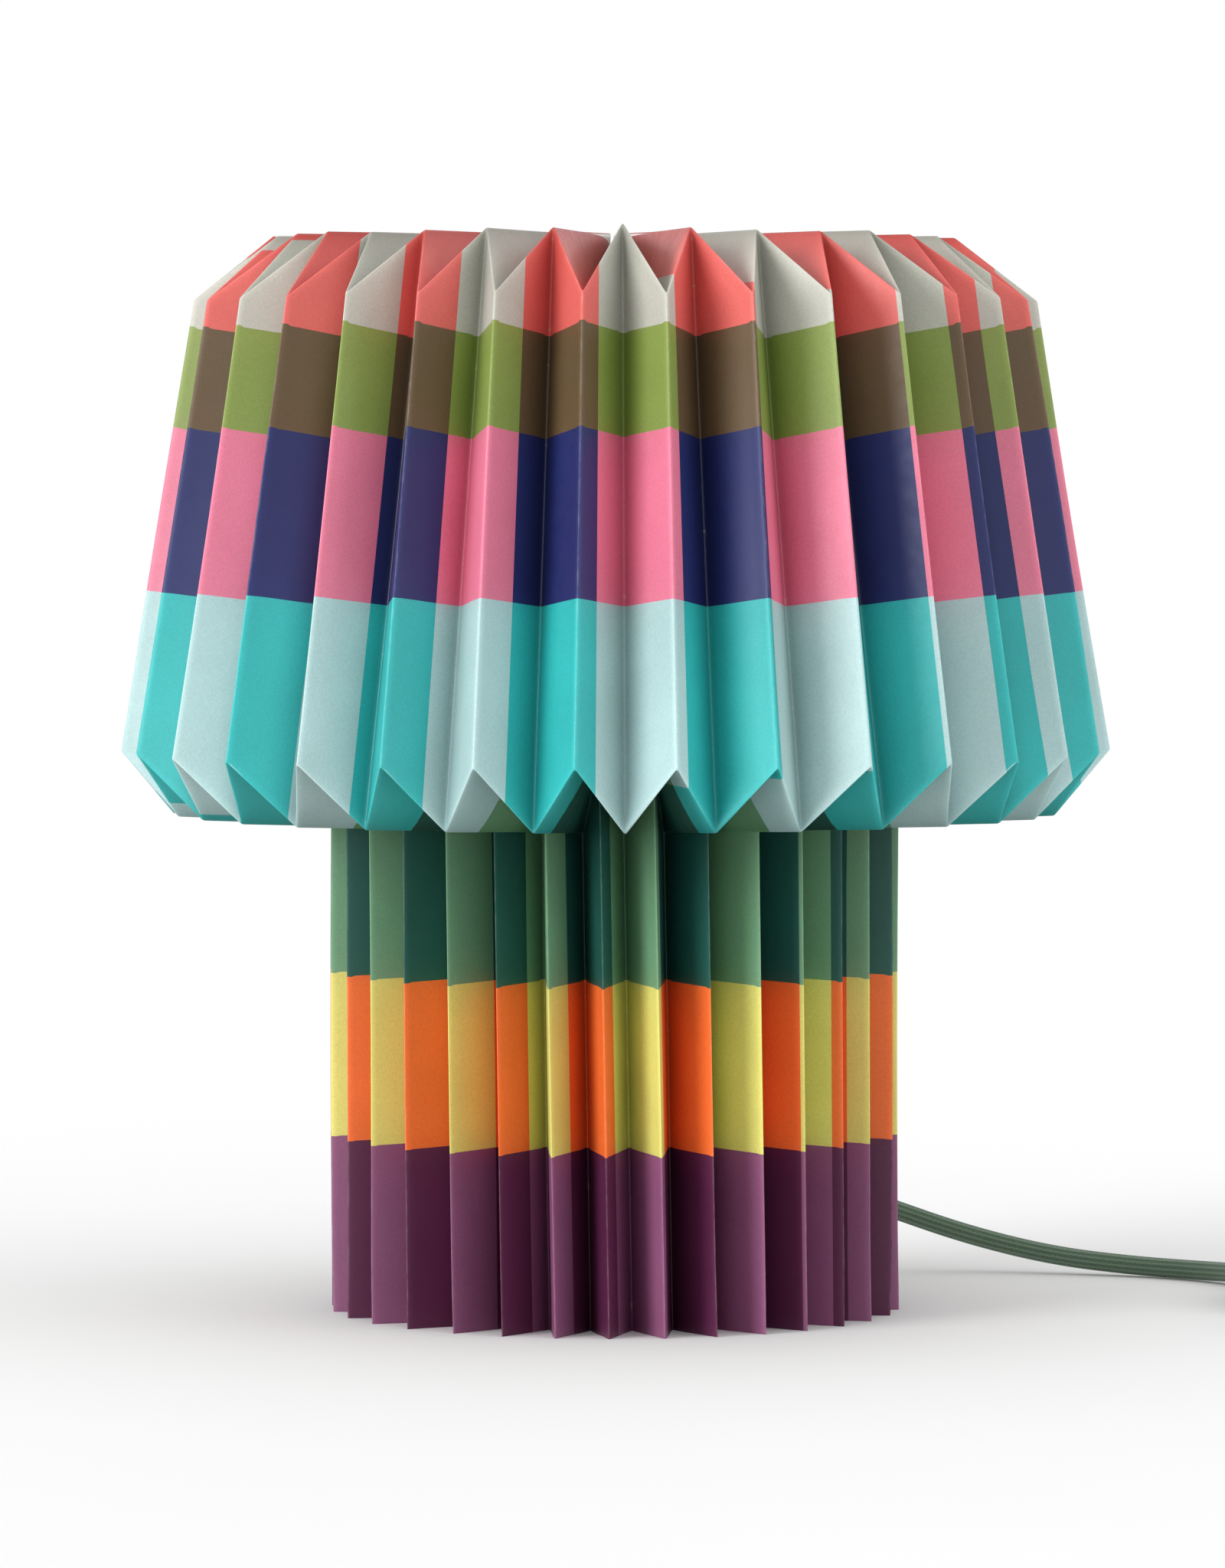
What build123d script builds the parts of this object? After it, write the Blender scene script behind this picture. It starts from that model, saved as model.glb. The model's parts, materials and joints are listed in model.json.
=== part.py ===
"""Table lamp whose shade and foot are one accordion-pleated paper sleeve around a light steel stand.

Frame: millimetres, +Z up, origin on the table under the centre of the stand.
The lamp faces -Y. Its lead leaves at the back, behind the +X side.
"""
import os
from math import cos, pi, radians, sin, sqrt, tan

from build123d import *

os.makedirs("parts", exist_ok=True)

# --- pleated paper sleeve ---------------------------------------------------
PLEATS = 32
FACET = 25.4  # width of one facet, from a mountain fold to a valley fold
PAPER = 0.4
FRONT_VALLEY = -88.8  # direction of the valley fold at the front, in degrees from +X
MOUTH_R = 11.0  # the top collar's folds gather round this small hole
SHOULDER_R, SHOULDER_Z = 137.5, 329.0
HEM_R, HEM_Z = 161.5, 183.0
FOOT_R = 93.5
COLLAR_FALL = 3.0  # the top collar's mountain folds run slightly downhill inwards
STEPS = (5, 3, 3, 1)  # lengths that each stretch is divided into, because its facets twist
FACET_SHARES = (0.0, 0.25, 0.75)  # lines of points on a facet, as shares of its width
FOLD_REACH = 2.5  # the outside of a sharp fold is kept within this many paper half-thicknesses
SEAM_SHARE = 0.34  # a seam strip covers this share of the facets beside it
SEAM_PAPER = 0.3
SEAM_GLUE = 0.3
SEAM_TRIM = 6.0  # a seam strip ends this far from the bends
HALF_PITCH = 180.0 / PLEATS
NOTCH_VALLEY = 13  # the lead passes under the valley this many pleats after the front one
NOTCH_W, NOTCH_TOP = 14.0, 42.0

# --- stand -------------------------------------------------------------------
PAN_R, PAN_WALL, PAN_LOW, PAN_TOP, PAN_ROUND = 60.0, 1.2, 2.0, 60.0, 8.0
PAD_R, PAD_HOLE_R = 57.0, 36.0
COVER_R, COVER_T = 58.4, 1.0
BALLAST_R, BALLAST_T, BALLAST_HOLE_R = 55.0, 12.0, 12.0
PILLAR_PCR, PILLAR_AF = 30.0, 7.0
SCREW_R, SCREW_HEAD_R, SCREW_HEAD_T, SCREW_LONG = 2.0, 3.6, 1.5, 24.0
CROSS_L, CROSS_W, CROSS_DEPTH = 4.2, 0.9, 0.9
STEM_R, STEM_BORE_R, STEM_LOW, STEM_TOP = 5.0, 3.6, 50.0, 172.0
NUT_AF, NUT_T, WASHER_R, WASHER_T = 14.0, 4.0, 10.0, 1.2
FIT = 0.03  # radial clearance of a thread or a close hole

# --- lamp holder and bulb ------------------------------------------------------
CAP_LOW, CAP_NECK_R, CAP_NECK_H, CAP_R, CAP_TOP, CAP_WALL = 158.0, 8.5, 8.0, 19.0, 189.0, 2.0
CORE_R, CORE_LOW, CORE_TOP = 16.5, 176.0, 192.0
TERMINAL_R, TERMINAL_L = 1.7, 8.0
SPRING_L, SPRING_W, SPRING_T, SPRING_TIP_R = 20.0, 5.0, 0.5, 2.4
SHELL_R, SHELL_BORE_R, SHELL_TOP, SHELL_LIP = 20.5, 14.1, 221.0, 1.6
SLEEVE_R, SLEEVE_BORE_R, SLEEVE_TOP = 14.05, 13.6, 217.0
TIP_LOW, TIP_R, TIP_H = 195.5, 4.6, 2.0
SPRING_GAP = 0.3  # between the holder's contact and the bulb's
COLLET_TOP, COLLET_R = 201.0, 10.8
THREAD_TOP, THREAD_R, THREAD_DEPTH, THREAD_PITCH = 222.0, 13.1, 0.8, 3.6
HOUSING_TOP, HOUSING_R = 247.0, 24.5
GLOBE_R, GLOBE_TOP, GLOBE_WALL = 30.0, 300.5, 1.2

# --- lead ------------------------------------------------------------------------
CORD_D = 6.6
INNER_D = 5.0
EXIT_Z = 32.0
EXIT_DEG = FRONT_VALLEY + NOTCH_VALLEY * 2 * HALF_PITCH
GLAND_SHANK_R, GLAND_AF, GLAND_IN, GLAND_OUT, GLAND_NUT_T = 6.0, 17.0, 52.0, 64.0, 4.0
BOOT_TIP, BOOT_R, BOOT_TIP_R = 102.0, 6.4, 4.5
BEND_R = 18.0
COIL_X, COIL_Y, COIL_TURNS = 266.0, -65.0, 6.5
COIL_INNER_R = 4 * CORD_D
COIL_OUTER_R = COIL_INNER_R + COIL_TURNS / 2 * CORD_D  # middle of the outermost turn
SWITCH_X, SWITCH_Y, SWITCH_L, SWITCH_W, SWITCH_H = 218.0, 4.0, 58.0, 23.0, 15.4
SWITCH_ROUND, SWITCH_ROOM_L, SWITCH_ROOM_W, SWITCH_WALL = 2.2, 30.0, 14.0, 2.2
CASE_SCREW_R, CASE_SCREW_HEAD_R, CASE_SCREW_SEAT, CASE_SCREW_LOW = 1.4, 2.5, 2.6, 1.0
CASE_SCREW_HOLE = 4.0  # depth of its thread in the cover
ROCKER_L, ROCKER_W, ROCKER_TILT, ROCKER_GAP = 19.0, 9.6, 7.0, 0.35
ROCKER_CROWN, ROCKER_DIP, ROCKER_FOOT, ROCKER_BELLY = 5.4, 1.6, 0.6, 2.6
TRUNNION_R, TRUNNION_L, PIVOT_DEPTH = 1.3, 2.0, 4.2
PLUG_L, PLUG_W, PLUG_T, PLUG_NECK_R, NECK_L = 36.0, 35.0, 13.6, 5.6, 12.0
PIN_R, PIN_L, PIN_GAP = 2.0, 19.0, 18.6


def polar(radius, angle, z):
    """A point from its cylindrical coordinates, with the angle in degrees."""
    return Vector(radius * cos(radians(angle)), radius * sin(radians(angle)), z)


EXIT_DIR = polar(1, EXIT_DEG, 0)
exit_plane = Plane(origin=(0, 0, EXIT_Z), x_dir=polar(1, EXIT_DEG + 90, 0), z_dir=EXIT_DIR)
CORD_START = polar(BOOT_TIP, EXIT_DEG, EXIT_Z)
SWITCH_MID = SWITCH_H / 2
PLUG_MID = PLUG_T / 2
LIE = CORD_D / 2
SWITCH_IN = Vector(SWITCH_X, SWITCH_Y + SWITCH_L / 2, SWITCH_MID)
SWITCH_OUT = Vector(SWITCH_X, SWITCH_Y - SWITCH_L / 2, SWITCH_MID)
PLUG_BACK = Vector(COIL_X + COIL_OUTER_R + 0.5, COIL_Y + 46, PLUG_MID)

# Routes of the lead where it isn't coiled: out of the boot, down to the table and round to the
# switch, from the switch to the coil, and from the top of the coil down to the plug.
LAMP_ROUTE = [
    CORD_START, (67, 104.9, 31.5), (92, 113.5, 22), (120, 110, 12.5), (149, 102.5, 6),
    (176, 93, 3.6), (198, 79, 3.4), (213, 58, 4.6), SWITCH_IN,
]
COIL_ROUTE = [SWITCH_OUT, (218.9, -45, 4.9), (COIL_X - COIL_OUTER_R, COIL_Y, LIE)]
PLUG_ROUTE = [(COIL_X + COIL_OUTER_R, COIL_Y, 3 * LIE), (315.2, -42, 8.4), PLUG_BACK]


# --- pleated sleeve --------------------------------------------------------------
def meet(normals, distances):
    """The plane vector whose products with one or two normals are the given distances."""
    a = normals[0]
    if len(normals) == 1:
        return a * (distances[0] / a.dot(a))
    b = normals[1]
    det = a.X * b.Y - a.Y * b.X
    x = (distances[0] * b.Y - distances[1] * a.Y) / det
    y = (distances[1] * a.X - distances[0] * b.X) / det
    return Vector(x, y)


def valley_line(mountain):
    """Valley points of an inside reverse fold, as (radius, height), one for each mountain point.

    Every valley fold runs beside its mountain fold at the facet's width, and it changes sides at
    each bend: above the top collar, inside the shade, below the lower collar, inside the foot.
    """
    normals = []
    for i in range(len(mountain) - 1):
        along = (mountain[i + 1] - mountain[i]).normalized()
        side = 1 if i % 2 == 0 else -1
        normals.append(Vector(-along.Y, along.X) * side)
    valley = []
    for i, point in enumerate(mountain):
        beside = normals[max(i - 1, 0):i + 1]
        radius = point.X
        for _ in range(12):
            depth = sqrt(FACET**2 - (radius * sin(radians(HALF_PITCH)))**2)
            inside = point + meet(beside, [depth] * len(beside))
            radius = inside.X / cos(radians(HALF_PITCH))
        valley.append(Vector(radius, inside.Y))
    return valley


mountain_fold = [
    Vector(MOUTH_R, SHOULDER_Z - COLLAR_FALL),
    Vector(SHOULDER_R, SHOULDER_Z),
    Vector(HEM_R, HEM_Z),
    Vector(FOOT_R, HEM_Z),
    Vector(FOOT_R, 0),
]
valley_fold = valley_line(mountain_fold)


def facet_normal(stretch, share):
    """Outward unit normal of the facet between a valley at angle 0 and the next mountain."""
    m0, m1 = (polar(p.X, HALF_PITCH, p.Y) for p in mountain_fold[stretch:stretch + 2])
    v0, v1 = (polar(p.X, 0, p.Y) for p in valley_fold[stretch:stretch + 2])
    across = m0 + (m1 - m0) * share - v0 - (v1 - v0) * share
    along = (m1 - m0).normalized() + (v1 - v0).normalized()
    return along.cross(across).normalized()


def sheet_rows():
    """Each row of points from the top to the hem, as the one or two (stretch, share) that it is on."""
    rows = []
    for stretch, count in enumerate(STEPS):
        for i in range(count):
            at_bend = i == 0 and stretch > 0
            rows.append(([(stretch - 1, 1.0)] if at_bend else []) + [(stretch, i / count)])
    return rows + [[(len(STEPS) - 1, 1.0)]]


ROWS = sheet_rows()


def fold_place(fold, row):
    """Where a row crosses a fold line, as (radius, height)."""
    stretch, share = row[-1]
    return fold[stretch] + (fold[stretch + 1] - fold[stretch]) * share


def on_fold(fold, angle, row, distance):
    """A row's point on a fold, moved out of the paper so that both facets' planes move alike."""
    radial = polar(1, angle, 0)
    flat = [Vector(n.dot(radial), n.Z) for n in (facet_normal(*part) for part in row)]
    out = meet(flat, [distance] * len(flat))
    ridge_outside = (row[-1][0] % 2 == 0) == (fold is valley_fold)
    reach = FOLD_REACH * abs(distance)
    if len(row) == 1 and ridge_outside == (distance > 0) and out.length > reach:
        out *= reach / out.length
    place = fold_place(fold, row) + out
    return polar(place.X, angle, place.Y)


def on_facet(share, row, distance):
    """A row's point on the facet from a valley at angle 0 to a mountain, moved out of the paper."""
    if share == 0:
        return on_fold(valley_fold, 0, row, distance)
    if share == 1:
        return on_fold(mountain_fold, HALF_PITCH, row, distance)
    valley, mountain = fold_place(valley_fold, row), fold_place(mountain_fold, row)
    start, end = polar(valley.X, 0, valley.Y), polar(mountain.X, HALF_PITCH, mountain.Y)
    normals = [facet_normal(*part) for part in row]
    both = normals[0] + normals[-1]
    return start + (end - start) * share + both * (distance / (1 + normals[0].dot(normals[-1])))


def line_down(facet, share, distance, rows):
    """Points down the sheet on one facet. Facets are counted round from the front valley."""
    from_valley = share if facet % 2 == 0 else 1 - share
    mirrored = 1 if facet % 2 == 0 else -1
    valley_angle = FRONT_VALLEY + (facet + facet % 2) * HALF_PITCH
    points = []
    for row in rows:
        p = on_facet(from_valley, row, distance)
        points.append(Vector(p.X, p.Y * mirrored, p.Z).rotate(Axis.Z, valley_angle))
    return points


def surface(distance, first, last):
    """Lines of points across the sleeve at a distance outside the folds, from valley to valley."""
    lines = [line_down(facet, share, distance, ROWS)
             for facet in range(2 * first, 2 * last) for share in FACET_SHARES]
    return lines + [line_down(2 * last, 0, distance, ROWS)]


def thin_solid(outer, inner):
    """Closed polyhedron between two grids of points."""
    faces = []

    def patch(a, b, c, d):
        faces.append(Face(Wire.make_polygon([a, b, c])))
        faces.append(Face(Wire.make_polygon([a, c, d])))

    for i in range(len(outer) - 1):
        for j in range(len(outer[i]) - 1):
            patch(outer[i][j], outer[i][j + 1], outer[i + 1][j + 1], outer[i + 1][j])
            patch(inner[i][j], inner[i + 1][j], inner[i + 1][j + 1], inner[i][j + 1])
        for j in (0, -1):
            patch(outer[i][j], outer[i + 1][j], inner[i + 1][j], inner[i][j])
    for i in (0, -1):
        for j in range(len(outer[i]) - 1):
            patch(outer[i][j], outer[i][j + 1], inner[i][j + 1], inner[i][j])
    return Solid(Shell(faces))


def half_sheet(first):
    """Half of the sleeve, as one folded sheet of sixteen pleats."""
    last = first + PLEATS // 2
    return thin_solid(surface(PAPER / 2, first, last), surface(-PAPER / 2, first, last))


with BuildPart() as paper_front:
    add(half_sheet(-PLEATS // 4))

with BuildPart() as paper_rear:
    add(half_sheet(PLEATS // 4))
    with BuildSketch(exit_plane.offset(FOOT_R / 2)):
        with Locations((0, NOTCH_TOP - EXIT_Z - NOTCH_W / 2)):
            Circle(NOTCH_W / 2)
        with Locations((0, NOTCH_TOP - EXIT_Z - NOTCH_W / 2)):
            Rectangle(NOTCH_W, NOTCH_TOP, align=(Align.CENTER, Align.MAX))
    extrude(amount=FOOT_R, mode=Mode.SUBTRACT)


def seam_strip(valley, stretch):
    """Paper strip glued over the joint of the two sheets, inside one stretch of a valley fold."""
    skin = -PAPER / 2 - SEAM_GLUE
    rows = [[(stretch, i / STEPS[stretch])] for i in range(STEPS[stretch] + 1)]

    def across(distance):
        lines = [line_down(2 * valley - 1, 1 - SEAM_SHARE, distance, rows),
                 line_down(2 * valley, 0, distance, rows),
                 line_down(2 * valley, SEAM_SHARE, distance, rows)]
        for points in lines:
            points[0] += (points[1] - points[0]).normalized() * SEAM_TRIM
            points[-1] += (points[-2] - points[-1]).normalized() * SEAM_TRIM
        return lines

    return thin_solid(across(skin), across(skin - SEAM_PAPER))


SHADE, FOOT = 1, 3  # the stretches that the seam strips lie in

with BuildPart() as seam_strip_right:
    for stretch in (SHADE, FOOT):
        add(seam_strip(PLEATS // 4, stretch))

with BuildPart() as seam_strip_left:
    for stretch in (SHADE, FOOT):
        add(seam_strip(-PLEATS // 4, stretch))

# --- stand -------------------------------------------------------------------------
PILLAR_DEG = EXIT_DEG + 60
pillar_spots = PolarLocations(PILLAR_PCR, 3, PILLAR_DEG)
COVER_TOP = PAN_LOW + COVER_T
BALLAST_TOP = COVER_TOP + BALLAST_T

with BuildPart() as base_pan:
    with BuildSketch(Plane.XY.offset(PAN_LOW)):
        Circle(PAN_R)
    extrude(amount=PAN_TOP - PAN_LOW)
    fillet(base_pan.edges().group_by(Axis.Z)[-1], PAN_ROUND)
    offset(amount=-PAN_WALL, openings=base_pan.faces().sort_by(Axis.Z)[0])
    with BuildSketch(Plane.XY.offset(PAN_TOP)):
        Circle(STEM_R + FIT)
    extrude(amount=-2 * PAN_WALL, mode=Mode.SUBTRACT)
    with BuildSketch(exit_plane.offset(GLAND_IN)):
        Circle(GLAND_SHANK_R + FIT)
    extrude(amount=PAN_R, mode=Mode.SUBTRACT)

with BuildPart() as foot_pad:
    with BuildSketch():
        Circle(PAD_R)
        Circle(PAD_HOLE_R, mode=Mode.SUBTRACT)
    extrude(amount=PAN_LOW)

with BuildPart() as bottom_cover:
    with BuildSketch(Plane.XY.offset(PAN_LOW)):
        Circle(COVER_R)
        with pillar_spots:
            Circle(SCREW_R + 0.2, mode=Mode.SUBTRACT)
    extrude(amount=COVER_T)

with BuildPart() as ballast_disc:
    with BuildSketch(Plane.XY.offset(COVER_TOP)):
        Circle(BALLAST_R)
        Circle(BALLAST_HOLE_R, mode=Mode.SUBTRACT)
        with pillar_spots:
            Circle(SCREW_R + 0.3, mode=Mode.SUBTRACT)
    extrude(amount=BALLAST_T)
    chamfer(ballast_disc.edges().filter_by(GeomType.CIRCLE).sort_by(SortBy.RADIUS)[-2:], 1.2)

with BuildPart() as pillars:
    with BuildSketch(Plane.XY.offset(BALLAST_TOP)):
        with pillar_spots:
            RegularPolygon(PILLAR_AF / 2, 6, major_radius=False)
    extrude(amount=PAN_TOP - PAN_WALL - BALLAST_TOP)
    with BuildSketch(Plane.XY.offset(BALLAST_TOP)):
        with pillar_spots:
            Circle(SCREW_R + FIT)
    extrude(amount=SCREW_LONG - BALLAST_T, mode=Mode.SUBTRACT)

with BuildPart() as cover_screws:
    with BuildSketch(Plane.XY.offset(PAN_LOW - SCREW_HEAD_T)):
        with pillar_spots:
            Circle(SCREW_HEAD_R)
    extrude(amount=SCREW_HEAD_T)
    fillet(cover_screws.edges().group_by(Axis.Z)[0], 0.6)
    with BuildSketch(Plane.XY.offset(PAN_LOW)):
        with pillar_spots:
            Circle(SCREW_R)
    extrude(amount=SCREW_LONG - 1)
    with BuildSketch(Plane.XY.offset(PAN_LOW - SCREW_HEAD_T)):
        with pillar_spots:
            Rectangle(CROSS_L, CROSS_W)
            Rectangle(CROSS_W, CROSS_L)
    extrude(amount=CROSS_DEPTH, mode=Mode.SUBTRACT)

with BuildPart() as stem_tube:
    with BuildSketch(Plane.XY.offset(STEM_LOW)):
        Circle(STEM_R)
        Circle(STEM_BORE_R, mode=Mode.SUBTRACT)
    extrude(amount=STEM_TOP - STEM_LOW)
    chamfer(stem_tube.edges().group_by(Axis.Z)[-1].sort_by(SortBy.RADIUS)[-1], 0.5)

NUT_LEVELS = [PAN_TOP - PAN_WALL - WASHER_T - NUT_T, PAN_TOP + WASHER_T, CAP_LOW - NUT_T]
WASHER_LEVELS = [PAN_TOP - PAN_WALL - WASHER_T, PAN_TOP]

with BuildPart() as stem_nuts:
    for level in NUT_LEVELS:
        with BuildSketch(Plane.XY.offset(level)):
            RegularPolygon(NUT_AF / 2, 6, major_radius=False)
            Circle(STEM_R + FIT, mode=Mode.SUBTRACT)
        extrude(amount=NUT_T)

with BuildPart() as stem_washers:
    for level in WASHER_LEVELS:
        with BuildSketch(Plane.XY.offset(level)):
            Circle(WASHER_R)
            Circle(STEM_R + 0.3, mode=Mode.SUBTRACT)
        extrude(amount=WASHER_T)

# --- cable entry ----------------------------------------------------------------------
WALL_IN = sqrt((PAN_R - PAN_WALL)**2 - (GLAND_AF / 2 / cos(pi / 6))**2)  # where a flat nut seats

with BuildPart() as cord_gland:
    with BuildSketch(exit_plane.offset(PAN_R)):
        RegularPolygon(GLAND_AF / 2, 6, major_radius=False)
    extrude(amount=GLAND_OUT - PAN_R)
    with BuildSketch(exit_plane.offset(GLAND_IN)):
        Circle(GLAND_SHANK_R)
    extrude(amount=PAN_R - GLAND_IN)
    with BuildSketch(exit_plane.offset(GLAND_IN)):
        Circle(CORD_D / 2 + FIT)
    extrude(amount=GLAND_OUT - GLAND_IN, mode=Mode.SUBTRACT)

with BuildPart() as gland_nut:
    with BuildSketch(exit_plane.offset(WALL_IN - GLAND_NUT_T)):
        RegularPolygon(GLAND_AF / 2, 6, major_radius=False)
        Circle(GLAND_SHANK_R + FIT, mode=Mode.SUBTRACT)
    extrude(amount=GLAND_NUT_T)

with BuildPart() as strain_relief:
    with BuildSketch(exit_plane.offset(GLAND_OUT)):
        Circle(BOOT_R)
    with BuildSketch(exit_plane.offset(BOOT_TIP)):
        Circle(BOOT_TIP_R)
    loft()
    with BuildSketch(exit_plane.offset(GLAND_OUT)):
        Circle(CORD_D / 2 + FIT)
    extrude(amount=BOOT_TIP - GLAND_OUT, mode=Mode.SUBTRACT)

# The lead inside the stand: whole through the boot and the gland, then stripped to its inner
# sheath, bent up under the stem and led through it to the lamp holder.
with BuildPart() as inner_lead:
    with BuildSketch(exit_plane.offset(GLAND_IN - 4)):
        Circle(CORD_D / 2)
    extrude(amount=BOOT_TIP - GLAND_IN + 4)
    with BuildLine():
        FilletPolyline(EXIT_DIR * (GLAND_IN - 2) + Vector(0, 0, EXIT_Z), (0, 0, EXIT_Z),
                       (0, 0, CORE_LOW), radius=BEND_R)
    with BuildSketch(exit_plane.offset(GLAND_IN - 2)):
        Circle(INNER_D / 2)
    sweep()

# --- lamp holder -----------------------------------------------------------------------
with BuildPart() as holder_cap:
    with BuildSketch(Plane.XZ):
        with BuildLine():
            Polyline((STEM_R + FIT, CAP_LOW), (CAP_NECK_R, CAP_LOW), (CAP_NECK_R, CAP_LOW + CAP_NECK_H),
                     (CAP_R, CAP_LOW + CAP_NECK_H + 8), (CAP_R, CAP_TOP), (CAP_R - CAP_WALL, CAP_TOP),
                     (CAP_R - CAP_WALL, CAP_LOW + CAP_NECK_H + 9),
                     (CAP_NECK_R, CAP_LOW + CAP_NECK_H + 2.5), (STEM_R + FIT, CAP_LOW + CAP_NECK_H + 2.5),
                     close=True)
        make_face()
    revolve(axis=Axis.Z)
    fillet(holder_cap.edges().filter_by(GeomType.CIRCLE).filter_by(
        lambda e: abs(e.radius - CAP_R) < 0.01 and e.center().Z < CAP_TOP - 1), 3)

with BuildPart() as holder_core:
    with BuildSketch(Plane.XY.offset(CORE_LOW)):
        Circle(CORE_R)
        with PolarLocations(CORE_R - 4, 2):
            Circle(TERMINAL_R + FIT, mode=Mode.SUBTRACT)
    extrude(amount=CORE_TOP - CORE_LOW)
    chamfer(holder_core.edges().group_by(Axis.Z)[-1].sort_by(SortBy.RADIUS)[-1], 1)

with BuildPart() as terminal_screws:
    with BuildSketch(Plane.XY.offset(CORE_LOW)):
        with PolarLocations(CORE_R - 4, 2):
            Circle(TERMINAL_R)
    extrude(amount=TERMINAL_L)

with BuildPart() as centre_contact:
    with BuildSketch(Plane.XY.offset(CORE_TOP)):
        Rectangle(SPRING_L, SPRING_W)
    extrude(amount=SPRING_T)
    with BuildSketch(Plane.XY.offset(CORE_TOP + SPRING_T)):
        Circle(SPRING_TIP_R)
    extrude(amount=TIP_LOW - SPRING_GAP - CORE_TOP - SPRING_T)
    fillet(centre_contact.edges().group_by(Axis.Z)[-1], 0.8)

with BuildPart() as threaded_sleeve:
    with BuildSketch(Plane.XY.offset(CORE_TOP)):
        Circle(SLEEVE_R)
        Circle(SLEEVE_BORE_R, mode=Mode.SUBTRACT)
    extrude(amount=SLEEVE_TOP - CORE_TOP)

with BuildPart() as holder_shell:
    with BuildSketch(Plane.XY.offset(CAP_TOP)):
        Circle(SHELL_R)
        Circle(CAP_R - CAP_WALL + 0.2, mode=Mode.SUBTRACT)
    extrude(amount=CORE_TOP - CAP_TOP)
    with BuildSketch(Plane.XY.offset(CORE_TOP)):
        Circle(SHELL_R)
        Circle(SHELL_BORE_R, mode=Mode.SUBTRACT)
    extrude(amount=SHELL_TOP - CORE_TOP)
    fillet(holder_shell.edges().group_by(Axis.Z)[-1], SHELL_LIP)

# --- bulb --------------------------------------------------------------------------------
with BuildPart() as bulb_contact:
    with BuildSketch(Plane.XY.offset(TIP_LOW)):
        Circle(TIP_R)
    extrude(amount=TIP_H)
    fillet(bulb_contact.edges().group_by(Axis.Z)[0], 1.5)

with BuildPart() as bulb_insulator:
    with BuildSketch(Plane.XY.offset(TIP_LOW + TIP_H)):
        Circle(TIP_R + 0.8)
    with BuildSketch(Plane.XY.offset(COLLET_TOP)):
        Circle(COLLET_R)
    loft()

with BuildPart() as bulb_screw_cap:
    crest_count = int((THREAD_TOP - COLLET_TOP - 3) / THREAD_PITCH)
    with BuildSketch(Plane.XZ):
        with BuildLine():
            rise = [(COLLET_R, COLLET_TOP), (THREAD_R - THREAD_DEPTH, COLLET_TOP + 1.2)]
            for turn in range(crest_count):
                low = COLLET_TOP + 1.2 + turn * THREAD_PITCH
                rise.append((THREAD_R, low + THREAD_PITCH / 2))
                rise.append((THREAD_R - THREAD_DEPTH, low + THREAD_PITCH))
            Polyline((0, COLLET_TOP), *rise, (THREAD_R, THREAD_TOP), (0, THREAD_TOP), close=True)
        make_face()
    revolve(axis=Axis.Z)

with BuildPart() as bulb_housing:
    with BuildSketch(Plane.XZ):
        with BuildLine():
            Line((0, THREAD_TOP), (THREAD_R + 0.6, THREAD_TOP))
            Spline((THREAD_R + 0.6, THREAD_TOP), (THREAD_R + 4, THREAD_TOP + 11), (HOUSING_R, HOUSING_TOP))
            Polyline((HOUSING_R, HOUSING_TOP), (0, HOUSING_TOP), (0, THREAD_TOP))
        make_face()
    revolve(axis=Axis.Z)

with BuildPart() as bulb_globe:
    equator = GLOBE_TOP - GLOBE_R
    with BuildSketch(Plane.XZ):
        with BuildLine():
            ThreePointArc((0, GLOBE_TOP), (GLOBE_R * sin(pi / 4), equator + GLOBE_R * cos(pi / 4)),
                          (GLOBE_R, equator))
            Spline((GLOBE_R, equator), (HOUSING_R, HOUSING_TOP), tangents=[(0, -1), (-0.32, -0.95)])
            Line((HOUSING_R, HOUSING_TOP), (HOUSING_R - GLOBE_WALL, HOUSING_TOP))
            inner = GLOBE_R - GLOBE_WALL
            Spline((HOUSING_R - GLOBE_WALL, HOUSING_TOP), (inner, equator), tangents=[(0.32, 0.95), (0, 1)])
            ThreePointArc((inner, equator), (inner * sin(pi / 4), equator + inner * cos(pi / 4)),
                          (0, GLOBE_TOP - GLOBE_WALL))
            Line((0, GLOBE_TOP - GLOBE_WALL), (0, GLOBE_TOP))
        make_face()
    revolve(axis=Axis.Z)


# --- lead on the table ---------------------------------------------------------------------
def corner_radii(points):
    """The largest tangent arcs that the runs of a route allow, one for each corner."""
    radii = []
    for before, corner, after in zip(points, points[1:], points[2:]):
        run_in, run_out = corner - before, after - corner
        half_turn = radians(run_in.get_angle(run_out)) / 2
        radii.append(0.45 * min(run_in.length, run_out.length) / tan(half_turn))
    return radii


def tube_along(route, name):
    """Round tube of the lead's diameter along a route of straight runs and tangent arcs."""
    points = [Vector(p) for p in route]
    radii = corner_radii(points)
    with BuildPart() as tube:
        with BuildLine() as path:
            FilletPolyline(*points, radius=radii)
        start = path.line @ 0
        heading = path.line % 0
        with BuildSketch(Plane(origin=start, z_dir=heading)):
            Circle(CORD_D / 2)
        sweep()
    long = sum(edge.length for edge in path.line.edges())
    share = tube.part.volume / (long * pi * CORD_D**2 / 4)
    print(name, "length", round(long, 1), "volume share", round(share, 4),
          "radii", [round(r, 1) for r in radii])
    return tube


cord = tube_along(LAMP_ROUTE, "cord")
cord_to_coil = tube_along(COIL_ROUTE, "cord_to_coil")
cord_to_plug = tube_along(PLUG_ROUTE, "cord_to_plug")

with BuildPart() as cord_coil:
    with BuildSketch():
        with Locations((COIL_X, COIL_Y)):
            Circle(COIL_OUTER_R + LIE)
            Circle(COIL_INNER_R - LIE, mode=Mode.SUBTRACT)
    extrude(amount=2 * CORD_D)
    fillet(cord_coil.edges(), LIE * 0.9)

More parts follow.
